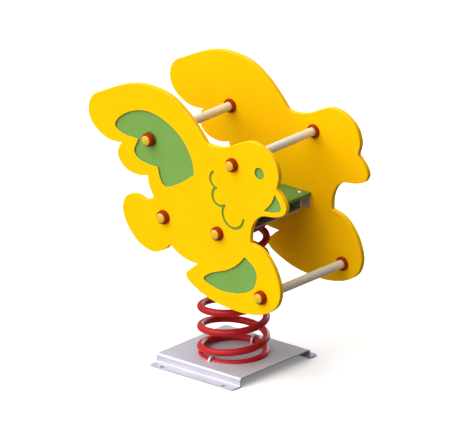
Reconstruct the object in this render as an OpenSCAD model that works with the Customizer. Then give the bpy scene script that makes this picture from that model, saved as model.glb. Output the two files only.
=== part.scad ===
// Spring rider shaped like a flying bird: two routed side panels, a seat on a folded bracket,
// three crossbars, and one coil spring on a folded ground plate.
// Lengths are in millimetres. +X is the way the bird flies, +Y its left side, +Z up.
// The origin is on the ground, in the middle of the anchor holes and under the spring's axis.

/* [Side panels] */
// Length of a panel from wing tip to beak tip
panel_l = 712; // [600:1:820]
// Height of a panel
panel_h = 580; // [520:1:660]
// Thickness of a panel
panel_t = 15; // [13:0.5:22]
// Drop of a panel's lowest edge below the seat top
panel_drop = 244; // [220:1:270]
// Depth of the pockets routed into the outer faces
pocket_depth = 8; // [6:0.5:10]
// Thickness of the coloured inlays in the pockets
inlay_t = 3; // [2:0.5:5]
// Diameter of the eye
eye_d = 34; // [24:1:44]
// Width of the scalloped neck line
neck_line_w = 8; // [5:0.5:9]
// Depth of the neck line's inlay below the outer face
neck_line_recess = 2.5; // [1:0.5:4]

/* [Seat] */
// Length of the seat board from front to back
seat_l = 280; // [276:1:320]
// Thickness of the seat board
seat_t = 10; // [8:0.5:18]
// Radius of the seat board's upper front and back edges
seat_edge_r = 4; // [2:0.5:6]
// Overhang of the seat board in front of and behind its bracket
seat_overhang = 5; // [2:0.5:12]
// Distance of the seat bolts from the ends of the bracket
seat_bolt_inset = 20; // [14:0.5:26]

/* [Seat bracket] */
// Depth of the bracket from the seat's underside to its own underside
bracket_depth = 32; // [30:1:44]
// Room between the spring and the outer side of the bracket's channel
channel_margin = 27; // [24:0.5:34]
// Width of each ledge between the channel and a panel
ledge_w = 36; // [32:0.5:50]
// Height of the side tabs that carry the panels
tab_h = 35; // [33:1:42]
// Height of the panel bolts above the lower edge of the tabs
panel_bolt_rise = 13; // [11:0.5:14]
// Distance of the panel bolts from the ends of the bracket
panel_bolt_inset = 38; // [36:0.5:60]

/* [Crossbars] */
// Outer diameter of a bar
bar_d = 25; // [23:0.5:30]
// Wall of a bar's tube
bar_wall = 2.5; // [2:0.25:3]
// Length of the threaded plug in each end of a bar
plug_l = 28; // [26:1:60]
// Outer diameter of the collars round the bar ends
collar_d = 40; // [36:1:46]
// Length of a collar along the bar
collar_l = 9; // [6:0.5:16]

/* [Bolt caps] */
// Diameter of a cap base where it sits on the panel
cap_d = 40; // [38:1:46]
// Height of a cap base
cap_h = 14; // [10.5:0.5:15]
// Diameter of a cap lid
lid_d = 27.5; // [25:0.5:28]
// Height of a cap lid above its base
lid_h = 5.5; // [4:0.5:8]

/* [Spring] */
// Outer diameter of the spring
spring_d = 200; // [190:1:210]
// Diameter of the spring wire
wire_d = 20; // [18:0.5:21]
// Height of the spring between the ground plate and the bracket
spring_h = 410; // [390:1:450]
// Whole turns of the spring between its two wire ends
spring_turns = 8; // [7:1:8]
// Thickness of the wire at its two ground tips
tip_t = 3; // [3:0.5:5]

/* [Ground plate] */
// Length of the ground plate along the flanges
base_l = 300; // [260:1:400]
// Width of the raised middle of the ground plate
base_w = 294; // [270:1:310]
// Height of the raised middle above the ground
base_h = 28; // [27:1:40]
// Width of each flange that lies on the ground
flange_w = 33; // [30:1:60]
// Radius of the flanges' outer corners
flange_corner_r = 10; // [4:0.5:14]
// Thickness of the folded sheets
sheet_t = 4; // [3:0.5:5]
// Bend radius in the middle of the folded sheets
bend_r = 5; // [4:0.5:6]
// Diameter of the anchor holes
anchor_d = 11; // [9:0.5:14]
// Distance of the anchor holes from the ends of a flange
anchor_end_inset = 40; // [20:1:60]
// Distance of the anchor holes from the outer edge of a flange
anchor_edge_inset = 10; // [8:0.5:14]

/* [Fasteners] */
// Diameter of the U-bolts
rod_d = 7; // [6:0.5:7]
// Length of a U-bolt's legs past their nuts
leg_tail = 3; // [2:0.5:8]
// Diameter of the panel and bar bolts
bolt_d = 10; // [9:0.5:10]
// Diameter of the seat bolts
seat_bolt_d = 8; // [7:0.5:8]

/* [Hidden] */
// Fits
// Gap round a shank in its hole
hole_gap = 0.5;
// Gap round a U-bolt's leg in its hole, where the leg already bends
leg_gap = 1;
// Gap between pieces that slide into each other
fit_gap = 0.2;
// Gap between a U-bolt and the wire in it
clamp_gap = 0.5;
// Gap between the seat board and a panel
seat_gap = 0.5;
// Run of every cut past the faces that it opens
overrun = 1;

// Small hardware
hex_sides = 6;
small_nut_w = 13;
small_nut_h = 6.5;
small_washer_d = 16;
small_washer_t = 1.6;
bolt_head_w = 17;
bolt_head_h = 6.4;
nut_h = 8;
washer_d = 20;
washer_t = 2;
bolt_tail = 3;
seat_head_d = 16;
seat_head_h = 4;
cap_floor_t = 3;
cap_rim_h = 3;
cap_wall_t = 2.5;
lid_edge_h = 2;
lid_skirt_h = 3.5;
lid_skirt_t = 1.2;
bar_bolt_grip = 22;
collar_rim_h = 4;

// Smoothness of round pieces and of curves
round_fn = 32;
rod_fn = 16;
crown_fn = 32;
curve_steps = 4;
shoulder_steps = 6;
bend_steps = 5;

// Heights, from the ground up
bracket_z = base_h + spring_h;
seat_under = bracket_z + bracket_depth;
seat_top = seat_under + seat_t;
panel_bottom = seat_top - panel_drop;
panel_bolt_z = seat_under - tab_h + panel_bolt_rise;

// Widths, from the middle out
channel_outer = spring_d / 2 + channel_margin;
panel_inner = channel_outer + ledge_w;
panel_outer = panel_inner + panel_t;
panel_gap = 2 * panel_inner;
seat_bolt_y = channel_outer + ledge_w / 2;
base_outer = base_w / 2 + flange_w;
anchor_y = base_outer - anchor_edge_inset;

// Lengths, from the middle out
bracket_l = seat_l - 2 * seat_overhang;
seat_bolt_x = bracket_l / 2 - seat_bolt_inset;
panel_bolt_x = bracket_l / 2 - panel_bolt_inset;
anchor_x = base_l / 2 - anchor_end_inset;

// Spring: the wire's middle line
coil_r = (spring_d - wire_d) / 2;
wire_r = wire_d / 2;
lower_end_angle = 220;
upper_end_angle = 410;
// Angle over which each end stays closed, and over which it leaves for the working pitch
closed_arc = 315;
leave_arc = 40;
// Gap that a whole closed turn would leave to the next one
closed_gap = 0.6;
// Angle to each side over which the wire's slope is taken
slope_arc = 1;
coil_arc = 360 * spring_turns + upper_end_angle - lower_end_angle;
wire_sides = 12;
turn_rings = 28;
coil_rings = round(coil_arc / 360 * turn_rings);
// Rise of the wire's middle at its ground tip, and for each degree while closed and at the working pitch
tip_rise = tip_t - wire_r;
closed_rate = (wire_d + closed_gap) / 360;
work_rate = (spring_h / 2 - tip_rise - closed_rate * (closed_arc + leave_arc / 2))
    / (coil_arc / 2 - closed_arc - leave_arc / 2);

// U-bolts: one at each side of the spring, right side first
u_bolt_angles = [270, 450];
leg_offset = wire_r + clamp_gap + rod_d / 2;
leg_grip = sheet_t + small_washer_t + small_nut_h + leg_tail;

// Outline of a panel, as shares of its length and height from its lower back corner.
// Each lobe starts where the one before it ended, in a sharp notch, and runs clockwise.
upper_wing_shares = [[0.170, 0.675], [0.125, 0.669], [0.075, 0.683], [0.020, 0.730], [0.000, 0.797],
    [0.020, 0.867], [0.070, 0.904], [0.163, 0.961], [0.245, 0.993], [0.320, 1.000], [0.413, 0.983],
    [0.497, 0.922], [0.560, 0.850], [0.598, 0.798]];
head_shares = [[0.598, 0.798], [0.638, 0.795], [0.694, 0.809], [0.750, 0.843], [0.806, 0.872],
    [0.850, 0.874], [0.898, 0.853], [0.942, 0.810], [0.961, 0.741], [0.949, 0.676]];
beak_shares = [[0.949, 0.676], [0.983, 0.636], [1.000, 0.591], [0.982, 0.550], [0.933, 0.528],
    [0.885, 0.519], [0.851, 0.496], [0.827, 0.450], [0.819, 0.405], [0.818, 0.366]];
lower_wing_shares = [[0.818, 0.366], [0.882, 0.343], [0.933, 0.281], [0.962, 0.205], [0.968, 0.138],
    [0.947, 0.076], [0.893, 0.029], [0.820, 0.005], [0.750, 0.000], [0.638, 0.014], [0.553, 0.050],
    [0.506, 0.083], [0.493, 0.115], [0.520, 0.148], [0.550, 0.178]];
belly_shares = [[0.550, 0.178], [0.497, 0.184], [0.448, 0.206], [0.414, 0.234]];
tail_shares = [[0.414, 0.234], [0.382, 0.198], [0.320, 0.172], [0.250, 0.202], [0.197, 0.271],
    [0.173, 0.347], [0.192, 0.414], [0.240, 0.436], [0.290, 0.424], [0.331, 0.448]];
third_feather_shares = [[0.331, 0.448], [0.314, 0.481], [0.303, 0.515], [0.300, 0.548]];
second_feather_shares = [[0.300, 0.548], [0.258, 0.536], [0.207, 0.542], [0.166, 0.571], [0.147, 0.617],
    [0.156, 0.652], [0.170, 0.675]];
panel_lobes = [upper_wing_shares, head_shares, beak_shares, lower_wing_shares, belly_shares,
    tail_shares, third_feather_shares, second_feather_shares];

// Outlines of the pockets, in the same shares
wing_tip_shares = [[0.253, 0.717], [0.188, 0.720], [0.149, 0.735], [0.136, 0.760], [0.163, 0.805],
    [0.222, 0.849], [0.300, 0.871], [0.385, 0.850], [0.469, 0.789], [0.521, 0.698], [0.534, 0.622]];
wing_root_shares = [[0.534, 0.622], [0.463, 0.558], [0.392, 0.519], [0.364, 0.550], [0.351, 0.605]];
wing_notch_shares = [[0.351, 0.605], [0.300, 0.607], [0.254, 0.620], [0.232, 0.655], [0.253, 0.717]];
wing_pocket_lobes = [wing_tip_shares, wing_root_shares, wing_notch_shares];
foot_shares = [[0.791, 0.286], [0.838, 0.245], [0.851, 0.200], [0.829, 0.134], [0.764, 0.095],
    [0.680, 0.081], [0.610, 0.095], [0.583, 0.119], [0.624, 0.157], [0.694, 0.190], [0.746, 0.229],
    [0.791, 0.286]];
foot_pocket_lobes = [foot_shares];
beak_front_shares = [[0.942, 0.645], [0.967, 0.606], [0.970, 0.571], [0.928, 0.551], [0.886, 0.547]];
beak_back_shares = [[0.886, 0.547], [0.921, 0.593], [0.942, 0.645]];
beak_pocket_lobes = [beak_front_shares, beak_back_shares];
eye_share = [0.864, 0.728];

// Handle bar, back bar and foot bar on the panel, and the spring's axis along its length
bar_shares = [[0.730, 0.733], [0.309, 0.733], [0.875, 0.110]];
axis_share = 0.5197;

// Scallops of the neck line: middle, radius as a share of the panel's height, first and last angle
neck_scallop_shares = [[[0.652, 0.633], 0.043, 122, 268], [[0.666, 0.552], 0.047, 116, 312],
    [[0.732, 0.478], 0.065, 141, 356]];
scallop_steps = 12;

// Colours
panel_yellow = "#fdcf05";
inlay_green = "#7faa55";
cap_red = "#a83a12";
lid_yellow = "#e2c83c";
bar_ivory = "#efe6c8";
spring_red = "#c42428";
zinc_grey = "#c3c0cc";
seat_green = "#5f8a35";

// Curves through hand-set points

function span_point(a, b, c, d, t) =
    (2 * b + (c - a) * t + (2 * a - 5 * b + 4 * c - d) * t * t + (3 * b - a - 3 * c + d) * t * t * t) / 2;

// A smooth curve through one lobe's points, without its last point
function lobe_curve(points) =
    let (last = len(points) - 1)
    [for (i = [0 : last - 1])
        let (before = i == 0 ? 2 * points[0] - points[1] : points[i - 1])
        let (after = i == last - 1 ? 2 * points[last] - points[last - 1] : points[i + 2])
        for (step = [0 : curve_steps - 1])
            span_point(before, points[i], points[i + 1], after, step / curve_steps)];

function on_panel(share) =
    [(share[0] - axis_share) * panel_l, share[1] * panel_h + panel_bottom];

function outline(lobes) = [for (lobe = lobes) for (share = lobe_curve(lobe)) on_panel(share)];

// Fixing points on the panels, as [x, z]
bar_places = [for (share = bar_shares) on_panel(share)];
panel_bolt_places = [for (front = [-1, 1]) [front * panel_bolt_x, panel_bolt_z]];
fixing_places = concat(bar_places, panel_bolt_places);

// The same closed outline, drawn in by a gap on all sides; it runs clockwise
function drawn_in(points, gap) =
    let (count = len(points))
    [for (i = [0 : count - 1])
        let (along = points[(i + 1) % count] - points[(i + count - 1) % count])
        points[i] + gap * [along[1], -along[0]] / norm(along)];

// A rounded shoulder from a wide rim up to a narrower top, as points [radius, height]
function shoulder(wide_r, top_r, low, high) =
    [for (step = [0 : shoulder_steps])
        let (turn = 90 * step / shoulder_steps)
        [top_r + (wide_r - top_r) * cos(turn), low + (high - low) * sin(turn)]];

// Folded sheet: a strip of even thickness along a path with square bends

function cross_turn(u, v) = u[0] * v[1] - u[1] * v[0];

function unit(v) = v / norm(v);

function strip_side(path, offset) =
    let (last = len(path) - 1)
    let (first_way = unit(path[1] - path[0]))
    let (last_way = unit(path[last] - path[last - 1]))
    concat(
        [path[0] + offset * [-first_way[1], first_way[0]]],
        [for (i = [1 : last - 1])
            let (u = unit(path[i] - path[i - 1]))
            let (v = unit(path[i + 1] - path[i]))
            let (middle = path[i] + bend_r * (v - u))
            let (radius = bend_r - offset * sign(cross_turn(u, v)))
            for (step = [0 : bend_steps])
                middle + radius * (u * sin(90 * step / bend_steps) - v * cos(90 * step / bend_steps))],
        [path[last] + offset * [-last_way[1], last_way[0]]]);

function folded_strip(path) =
    let (near = strip_side(path, sheet_t / 2))
    let (far = strip_side(path, -sheet_t / 2))
    concat(near, [for (i = [len(far) - 1 : -1 : 0]) far[i]]);

// A path given on the left half, from the outside in, and its mirror image
function both_halves(half) =
    concat([for (p = half) [-p[0], p[1]]], [for (i = [len(half) - 1 : -1 : 0]) half[i]]);

// Spring: rise of the wire's middle, measured from either ground end

function end_rise(arc) =
    let (left = max(arc - closed_arc, 0))
    let (bent = min(left, leave_arc))
    tip_rise + closed_rate * arc
        + (work_rate - closed_rate) * (bent * bent / (2 * leave_arc) + left - bent);

function wire_z(arc) =
    arc < coil_arc / 2 ? base_h + end_rise(arc) : bracket_z - end_rise(coil_arc - arc);

function wire_middle(arc) =
    [coil_r * cos(lower_end_angle + arc), coil_r * sin(lower_end_angle + arc), wire_z(arc)];

// Ring of the wire's skin, ground flat where it would pass its two seats.
// Its corners start at one end of the ground flat and run round to the other.
function wire_ring(arc) =
    let (angle = lower_end_angle + arc)
    let (before = max(arc - slope_arc, 0))
    let (after = min(arc + slope_arc, coil_arc))
    let (lean = atan2(wire_z(after) - wire_z(before), (after - before) * PI / 180 * coil_r))
    let (outward = [cos(angle), sin(angle), 0])
    let (upward = [sin(angle) * sin(lean), -cos(angle) * sin(lean), cos(lean)])
    let (is_upper = arc > coil_arc / 2)
    let (rise = end_rise(min(arc, coil_arc - arc)))
    let (first_turn = max(asin(max(-rise / wire_r, -1)), 180 / wire_sides - 90))
    [for (side = [0 : wire_sides - 1])
        let (corner = is_upper ? (side + wire_sides / 2) % wire_sides : side)
        let (turn = first_turn + (180 - 2 * first_turn) * corner / (wire_sides - 1) + (is_upper ? 180 : 0))
        let (p = wire_middle(arc) + wire_r * (cos(turn) * outward + sin(turn) * upward))
        [p[0], p[1], min(max(p[2], base_h), bracket_z)]];

function ring_arc(ring) = coil_arc * ring / coil_rings;

// Least gap between neighbouring turns, measured between the wire's middle points
near_rings = 4;
spring_gap = min([for (ring = [0 : coil_rings - turn_rings - near_rings])
    for (shift = [turn_rings - near_rings : turn_rings + near_rings])
        norm(wire_middle(ring_arc(ring + shift)) - wire_middle(ring_arc(ring)))]) - wire_d;
echo(least_gap_between_spring_turns = spring_gap);

// Height of the wire's middle under and over the U-bolts
lower_wire_z = [for (angle = u_bolt_angles) wire_z(angle - lower_end_angle)];
upper_wire_z = [for (angle = u_bolt_angles)
    bracket_z - end_rise((upper_end_angle - angle + 360) % 360)];

// Shapes that repeat

module extrude_along_x(length) {
    translate([-length / 2, 0, 0]) rotate([90, 0, 90]) linear_extrude(length) children();
}

// Pieces on the right panel, with z = 0 on its outer face and running outwards
module on_outer_face(places) {
    for (place = places)
        translate([place[0], -panel_outer, place[1]]) rotate([90, 0, 0]) children();
}

// Pieces on the right panel, with z = 0 on its inner face and running inwards
module on_inner_face(places) {
    for (place = places)
        translate([place[0], -panel_inner, place[1]]) rotate([-90, 0, 0]) children();
}

module mirrored_left() {
    mirror([0, 1, 0]) children();
}

module both_sides() {
    children();
    mirrored_left() children();
}

module hex_prism(width, height) {
    cylinder(h = height, d = width / cos(180 / hex_sides), $fn = hex_sides);
}

module ring(outer_d, bore_d, height) {
    difference() {
        cylinder(h = height, d = outer_d, $fn = round_fn);
        translate([0, 0, -overrun])
            cylinder(h = height + 2 * overrun, d = bore_d, $fn = round_fn);
    }
}

module nut(width, height, thread_d) {
    difference() {
        hex_prism(width, height);
        translate([0, 0, -overrun])
            cylinder(h = height + 2 * overrun, d = thread_d + 2 * fit_gap, $fn = round_fn);
    }
}

// Bolt with its head from z = 0 upwards and its shank downwards
module hex_bolt(shank_l) {
    hex_prism(bolt_head_w, bolt_head_h);
    translate([0, 0, -shank_l]) cylinder(h = shank_l, d = bolt_d, $fn = round_fn);
}

// U-bolt round a wire along X, with its legs down and the wire's middle at the origin
module u_bolt(leg_l) {
    rotate([90, 0, 90])
        rotate_extrude(angle = 180, $fn = crown_fn)
            translate([leg_offset, 0]) circle(d = rod_d, $fn = rod_fn);
    for (side = [-1, 1])
        translate([0, side * leg_offset, -leg_l]) cylinder(h = leg_l, d = rod_d, $fn = rod_fn);
}

// Places of the four legs, in the plane of the plate that they pass through
module at_legs() {
    for (side = [-1, 1])
        for (leg = [-1, 1])
            translate([0, side * coil_r + leg * leg_offset, 0]) children();
}

module leg_holes(z) {
    translate([0, 0, z - overrun]) at_legs()
        cylinder(h = sheet_t + 2 * overrun, d = rod_d + 2 * leg_gap, $fn = round_fn);
}

module at_seat_bolts(z) {
    for (front = [-1, 1])
        for (side = [-1, 1])
            translate([front * seat_bolt_x, side * seat_bolt_y, z]) children();
}

// Ground plate and the fastening of the spring's lower end

// What rounding takes off a flange's outer corner, with that corner at the origin
module corner_waste() {
    side = flange_corner_r + overrun;
    difference() {
        translate([-flange_corner_r, -flange_corner_r, -overrun])
            cube([side, side, sheet_t + 2 * overrun]);
        translate([-flange_corner_r, -flange_corner_r, -2 * overrun])
            cylinder(h = sheet_t + 4 * overrun, r = flange_corner_r, $fn = round_fn);
    }
}

module base_plate() {
    half_path = [[base_outer, sheet_t / 2], [(base_w - sheet_t) / 2, sheet_t / 2],
        [(base_w - sheet_t) / 2, base_h - sheet_t / 2]];
    color(zinc_grey) difference() {
        extrude_along_x(base_l) polygon(folded_strip(both_halves(half_path)));
        leg_holes(base_h - sheet_t);
        for (front = [-1, 1])
            for (side = [-1, 1])
                translate([front * anchor_x, side * anchor_y, -overrun])
                    cylinder(h = sheet_t + 2 * overrun, d = anchor_d, $fn = round_fn);
        for (front = [0, 1])
            mirror([front, 0, 0]) both_sides()
                translate([base_l / 2, base_outer, 0]) corner_waste();
    }
}

module lower_u_bolts() {
    color(zinc_grey) for (i = [0, 1])
        translate([0, sin(u_bolt_angles[i]) * coil_r, lower_wire_z[i]])
            u_bolt(lower_wire_z[i] - base_h + leg_grip);
}

module lower_u_bolt_washers() {
    color(zinc_grey) translate([0, 0, base_h - sheet_t - small_washer_t]) at_legs()
        ring(small_washer_d, rod_d + 2 * fit_gap, small_washer_t);
}

module lower_u_bolt_nuts() {
    color(zinc_grey) translate([0, 0, base_h - sheet_t - small_washer_t - small_nut_h]) at_legs()
        nut(small_nut_w, small_nut_h, rod_d);
}

// Coil spring: one tube, swept along the wire's middle line

module coil_spring() {
    rings = [for (i = [0 : coil_rings]) wire_ring(ring_arc(i))];
    points = [for (one = rings) for (p = one) p];
    skin = [for (i = [0 : coil_rings - 1]) for (side = [0 : wire_sides - 1])
        let (next = (side + 1) % wire_sides)
        let (a = i * wire_sides)
        let (b = a + wire_sides)
        each [[a + side, b + next, b + side], [a + side, a + next, b + next]]];
    // The two wire ends, as fans from a corner that stays off the ground face
    top_side = wire_sides / 4;
    low_side = 3 * wire_sides / 4;
    first_end = [for (k = [1 : wire_sides - 2])
        [top_side, (top_side + k + 1) % wire_sides, (top_side + k) % wire_sides]];
    last = coil_rings * wire_sides;
    last_end = [for (k = [1 : wire_sides - 2])
        [last + low_side, last + (low_side + k) % wire_sides, last + (low_side + k + 1) % wire_sides]];
    color(spring_red) polyhedron(points, concat(skin, first_end, last_end), convexity = 10);
}

// Fastening of the spring's upper end

module upper_u_bolts() {
    color(zinc_grey) for (i = [0, 1])
        translate([0, sin(u_bolt_angles[i]) * coil_r, upper_wire_z[i]]) rotate([180, 0, 0])
            u_bolt(bracket_z - upper_wire_z[i] + leg_grip);
}

module upper_u_bolt_washers() {
    color(zinc_grey) translate([0, 0, bracket_z + sheet_t]) at_legs()
        ring(small_washer_d, rod_d + 2 * fit_gap, small_washer_t);
}

module upper_u_bolt_nuts() {
    color(zinc_grey) translate([0, 0, bracket_z + sheet_t + small_washer_t]) at_legs()
        nut(small_nut_w, small_nut_h, rod_d);
}

// Seat and its bracket

module seat_bracket() {
    half_path = [[panel_inner - sheet_t / 2, seat_under - tab_h],
        [panel_inner - sheet_t / 2, seat_under - sheet_t / 2],
        [channel_outer - sheet_t / 2, seat_under - sheet_t / 2],
        [channel_outer - sheet_t / 2, bracket_z + sheet_t / 2]];
    color(zinc_grey) difference() {
        extrude_along_x(bracket_l) polygon(folded_strip(both_halves(half_path)));
        leg_holes(bracket_z);
        at_seat_bolts(seat_under - sheet_t - overrun)
            cylinder(h = sheet_t + 2 * overrun, d = seat_bolt_d + 2 * hole_gap, $fn = round_fn);
        both_sides() on_inner_face(panel_bolt_places)
            translate([0, 0, -overrun])
                cylinder(h = sheet_t + 2 * overrun, d = bolt_d + 2 * hole_gap, $fn = round_fn);
    }
}

module seat_board() {
    half = seat_l / 2;
    edge = shoulder(half, half - seat_edge_r, seat_top - seat_edge_r, seat_top);
    profile = concat([[-half, seat_under], [half, seat_under]], edge,
        [for (i = [len(edge) - 1 : -1 : 0]) [-edge[i][0], edge[i][1]]]);
    width = panel_gap - 2 * seat_gap;
    color(seat_green) difference() {
        translate([0, width / 2, 0]) rotate([90, 0, 0]) linear_extrude(width) polygon(profile);
        at_seat_bolts(seat_under - overrun)
            cylinder(h = seat_t + 2 * overrun, d = seat_bolt_d + 2 * hole_gap, $fn = round_fn);
    }
}

module seat_bolts() {
    grip = seat_t + sheet_t + small_washer_t + small_nut_h;
    dome = shoulder(seat_head_d / 2, 0, 0, seat_head_h);
    color(zinc_grey) at_seat_bolts(seat_top) {
        rotate_extrude($fn = round_fn) polygon(concat([[0, 0]], dome));
        translate([0, 0, -grip - bolt_tail])
            cylinder(h = grip + bolt_tail, d = seat_bolt_d, $fn = round_fn);
    }
}

module seat_bolt_washers() {
    color(zinc_grey) at_seat_bolts(seat_under - sheet_t - small_washer_t)
        ring(small_washer_d, seat_bolt_d + 2 * fit_gap, small_washer_t);
}

module seat_bolt_nuts() {
    color(zinc_grey) at_seat_bolts(seat_under - sheet_t - small_washer_t - small_nut_h)
        nut(small_nut_w, small_nut_h, seat_bolt_d);
}

// Side panels and their inlays, drawn for the right side

// A flat piece between two depths under the outer face of the right panel
module under_outer_face(depth, thickness) {
    translate([0, -panel_outer + depth, 0]) rotate([90, 0, 0]) linear_extrude(thickness) children();
}

// One scallop of the neck line, as a band round its middle
module neck_scallop(scallop, width) {
    middle = on_panel(scallop[0]);
    radius = scallop[1] * panel_h;
    turns = [for (step = [0 : scallop_steps])
        scallop[2] + (scallop[3] - scallop[2]) * step / scallop_steps];
    outer = [for (turn = turns) middle + (radius + width / 2) * [cos(turn), sin(turn)]];
    inner = [for (turn = turns) middle + (radius - width / 2) * [cos(turn), sin(turn)]];
    polygon(concat(outer, [for (i = [scallop_steps : -1 : 0]) inner[i]]));
}

module neck_line(width) {
    for (scallop = neck_scallop_shares)
        neck_scallop(scallop, width);
}

module panel() {
    color(panel_yellow) difference() {
        under_outer_face(panel_t, panel_t) polygon(outline(panel_lobes));
        for (lobes = [wing_pocket_lobes, foot_pocket_lobes, beak_pocket_lobes])
            under_outer_face(pocket_depth, pocket_depth + overrun) polygon(outline(lobes));
        on_outer_face([on_panel(eye_share)]) translate([0, 0, -pocket_depth])
            cylinder(h = pocket_depth + overrun, d = eye_d, $fn = round_fn);
        under_outer_face(pocket_depth, pocket_depth + overrun) neck_line(neck_line_w);
        on_outer_face(fixing_places) translate([0, 0, -panel_t - overrun])
            cylinder(h = panel_t + 2 * overrun, d = bolt_d + 2 * hole_gap, $fn = round_fn);
    }
}

// An inlay on the floor of its pocket, drawn in by the sliding gap
module shaped_inlay(lobes) {
    color(inlay_green) difference() {
        under_outer_face(pocket_depth, inlay_t) polygon(drawn_in(outline(lobes), fit_gap));
        on_outer_face(fixing_places) translate([0, 0, -pocket_depth - overrun])
            cylinder(h = pocket_depth + 2 * overrun, d = cap_d + 2 * fit_gap, $fn = round_fn);
    }
}

module eye_inlay() {
    color(inlay_green) on_outer_face([on_panel(eye_share)]) translate([0, 0, -pocket_depth])
        cylinder(h = inlay_t, d = eye_d - 2 * fit_gap, $fn = round_fn);
}

module neck_inlay() {
    color(inlay_green) under_outer_face(pocket_depth, pocket_depth - neck_line_recess)
        neck_line(neck_line_w - 2 * fit_gap);
}

// Crossbars

module bar(place) {
    color(bar_ivory) translate([place[0], panel_inner, place[1]]) rotate([90, 0, 0])
        ring(bar_d, bar_d - 2 * bar_wall, panel_gap);
}

module bar_plugs(place) {
    color(zinc_grey) both_sides() on_inner_face([place])
        ring(bar_d - 2 * bar_wall - 2 * fit_gap, bolt_d + 2 * fit_gap, plug_l);
}

module bar_collars(place) {
    bore_r = bar_d / 2 + fit_gap;
    profile = concat([[bore_r, 0], [collar_d / 2, 0]],
        shoulder(collar_d / 2, (collar_d / 2 + bore_r) / 2, collar_rim_h, collar_l), [[bore_r, collar_l]]);
    color(cap_red) both_sides() on_inner_face([place])
        rotate_extrude($fn = round_fn) polygon(profile);
}

// Bolts and caps on the outer faces, drawn for the right side

module bar_bolts() {
    color(zinc_grey) on_outer_face(bar_places) translate([0, 0, cap_floor_t])
        hex_bolt(cap_floor_t + panel_t + bar_bolt_grip);
}

module panel_bolts() {
    grip = cap_floor_t + panel_t + sheet_t + washer_t + nut_h;
    color(zinc_grey) on_outer_face(panel_bolt_places) translate([0, 0, cap_floor_t])
        hex_bolt(grip + bolt_tail);
}

module panel_bolt_washers() {
    color(zinc_grey) both_sides() on_inner_face(panel_bolt_places) translate([0, 0, sheet_t])
        ring(washer_d, bolt_d + 2 * fit_gap, washer_t);
}

module panel_bolt_nuts() {
    color(zinc_grey) both_sides() on_inner_face(panel_bolt_places)
        translate([0, 0, sheet_t + washer_t]) nut(bolt_head_w, nut_h, bolt_d);
}

// Inner radius of a cap base, which holds the lid's skirt
cap_bore_r = lid_d / 2 - lid_skirt_t;

module cap_bases() {
    hole_r = bolt_d / 2 + hole_gap;
    profile = concat([[hole_r, 0], [cap_d / 2, 0]],
        shoulder(cap_d / 2, cap_bore_r + cap_wall_t, cap_rim_h, cap_h),
        [[cap_bore_r, cap_h], [cap_bore_r, cap_floor_t], [hole_r, cap_floor_t]]);
    color(cap_red) on_outer_face(fixing_places) rotate_extrude($fn = round_fn) polygon(profile);
}

module cap_lids() {
    skirt_r = cap_bore_r - fit_gap;
    low = cap_h - lid_skirt_h;
    profile = concat([[0, cap_h], [skirt_r - lid_skirt_t, cap_h], [skirt_r - lid_skirt_t, low],
        [skirt_r, low], [skirt_r, cap_h], [lid_d / 2, cap_h]],
        shoulder(lid_d / 2, 0, cap_h + lid_edge_h, cap_h + lid_h));
    color(lid_yellow) on_outer_face(fixing_places) rotate_extrude($fn = round_fn) polygon(profile);
}

base_plate();
lower_u_bolts();
lower_u_bolt_washers();
lower_u_bolt_nuts();
coil_spring();
upper_u_bolts();
upper_u_bolt_washers();
upper_u_bolt_nuts();
seat_bracket();
seat_board();
seat_bolts();
seat_bolt_washers();
seat_bolt_nuts();
panel();  // right_panel
shaped_inlay(wing_pocket_lobes);  // right_wing_inlay
shaped_inlay(foot_pocket_lobes);  // right_foot_inlay
shaped_inlay(beak_pocket_lobes);  // right_beak_inlay
eye_inlay();  // right_eye_inlay
neck_inlay();  // right_neck_inlay
mirrored_left() panel();  // left_panel
mirrored_left() shaped_inlay(wing_pocket_lobes);  // left_wing_inlay
mirrored_left() shaped_inlay(foot_pocket_lobes);  // left_foot_inlay
mirrored_left() shaped_inlay(beak_pocket_lobes);  // left_beak_inlay
mirrored_left() eye_inlay();  // left_eye_inlay
mirrored_left() neck_inlay();  // left_neck_inlay
bar(bar_places[0]);  // handle_bar
bar(bar_places[1]);  // back_bar
bar(bar_places[2]);  // foot_bar
bar_plugs(bar_places[0]);  // handle_bar_plugs
bar_plugs(bar_places[1]);  // back_bar_plugs
bar_plugs(bar_places[2]);  // foot_bar_plugs
bar_collars(bar_places[0]);  // handle_bar_collars
bar_collars(bar_places[1]);  // back_bar_collars
bar_collars(bar_places[2]);  // foot_bar_collars
bar_bolts();  // right_bar_bolts
mirrored_left() bar_bolts();  // left_bar_bolts
panel_bolts();  // right_panel_bolts
mirrored_left() panel_bolts();  // left_panel_bolts
panel_bolt_washers();
panel_bolt_nuts();
cap_bases();  // right_cap_bases
mirrored_left() cap_bases();  // left_cap_bases
cap_lids();  // right_cap_lids
mirrored_left() cap_lids();  // left_cap_lids
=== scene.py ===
"""Looks of the playground spring rider: rounded sheets, wound spring, hardware, finishes and studio.

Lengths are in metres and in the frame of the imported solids: +X is the way the bird flies, +Y its left
side, +Z up, with the origin on the ground under the spring's axis.
"""

import logging
import math
from collections.abc import Callable, Iterable
from dataclasses import dataclass, field, replace
from enum import Enum

import bmesh
import bpy
from mathutils import Matrix, Vector


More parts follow.
